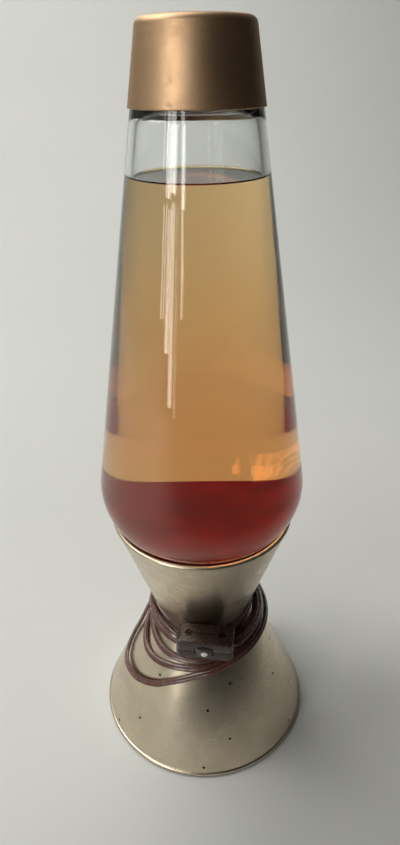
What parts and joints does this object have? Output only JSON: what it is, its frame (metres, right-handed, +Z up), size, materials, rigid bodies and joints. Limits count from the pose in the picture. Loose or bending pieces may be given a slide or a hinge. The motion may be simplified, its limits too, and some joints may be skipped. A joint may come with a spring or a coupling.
{
  "type": "lava lamp",
  "caption": "Tapered glass globe of wax and liquid in an hourglass spun-metal base, with lift-off cap, bulb, lampholder, wound mains cord and inline thumbwheel switch.",
  "frame": {"origin": "on the lamp's axis, on the surface it stands on", "axes": "+Z up along the lamp's axis; -Y is the front, where the switch lies; +Y is the back, where the cord leaves the base"},
  "size_m": [0.146, 0.1716, 0.435],
  "materials": {
    "base_metal": "satin champagne lacquer on spun aluminium",
    "cap_metal": "satin bronze gold lacquer on spun aluminium",
    "steel": "zinc plated",
    "brass": "drawn",
    "fibreboard": "hard pressed fibre",
    "felt": "felt",
    "porcelain": "glazed",
    "brown_plastic": "moulded",
    "wheel_plastic": "moulded, ribbed rim",
    "cord": "satin flexible insulation",
    "bulb_glass": "clear",
    "bulb_metal": "rolled thin sheet",
    "black_glass": "black glass",
    "globe_glass": "clear, polished",
    "liquid": "clear amber liquid",
    "wax": "cold wax",
    "liner": "matt",
    "crown": "gold lacquered tinplate"
  },
  "bodies": {
    "base": {"lower_cone": "base_metal", "upper_cone": "base_metal", "waist_rivets": "steel", "bottom_plate": "fibreboard", "felt_ring": "felt", "cord_bushing": "brown_plastic", "socket_bracket": "steel", "bracket_screws": "steel", "bracket_nuts": "steel", "socket_nipple": "brass", "nipple_nut": "steel", "socket_body": "porcelain", "socket_shell": "brass", "socket_disc": "fibreboard", "socket_contact": "brass", "terminal_screws": "brass", "cord_inner": "cord", "cord_rise": "cord", "cord_loop": "cord", "cord_winding": "cord", "cord_tail": "cord", "switch_top": "brown_plastic", "switch_bottom": "brown_plastic", "switch_screws": "brass", "switch_contacts": "brass", "plug_body": "brown_plastic", "plug_blades": "brass"},
    "globe": {"globe_glass": "globe_glass", "liquid": "liquid", "wax": "wax", "wax_coil": "steel", "crown_liner": "liner", "crown_cap": "crown"},
    "cap": {"cap": "cap_metal"},
    "bulb": {"bulb_glass": "bulb_glass", "bulb_cap": "bulb_metal", "bulb_insulator": "black_glass", "bulb_contact": "bulb_metal", "bulb_stem": "bulb_glass", "bulb_leads": "steel", "bulb_filament": "steel"},
    "wheel": {"switch_wheel": "wheel_plastic"}
  },
  "joints": [
    {"name": "globe_lift", "type": "slide", "parent": "base", "child": "globe", "axis": [0, 0, 1], "range_m": [0, 0.09]},
    {"name": "cap_lift", "type": "slide", "parent": "globe", "child": "cap", "axis": [0, 0, 1], "range_m": [0, 0.045]},
    {"name": "bulb_turn", "type": "hinge", "parent": "base", "child": "bulb", "pos_m": [0, 0, 0.07], "axis": [0, 0, 1], "continuous": true},
    {"name": "wheel_turn", "type": "hinge", "parent": "base", "child": "wheel", "pos_m": [0.00056, -0.04697, 0.098], "axis": [0, 0, 1], "continuous": true}
  ]
}
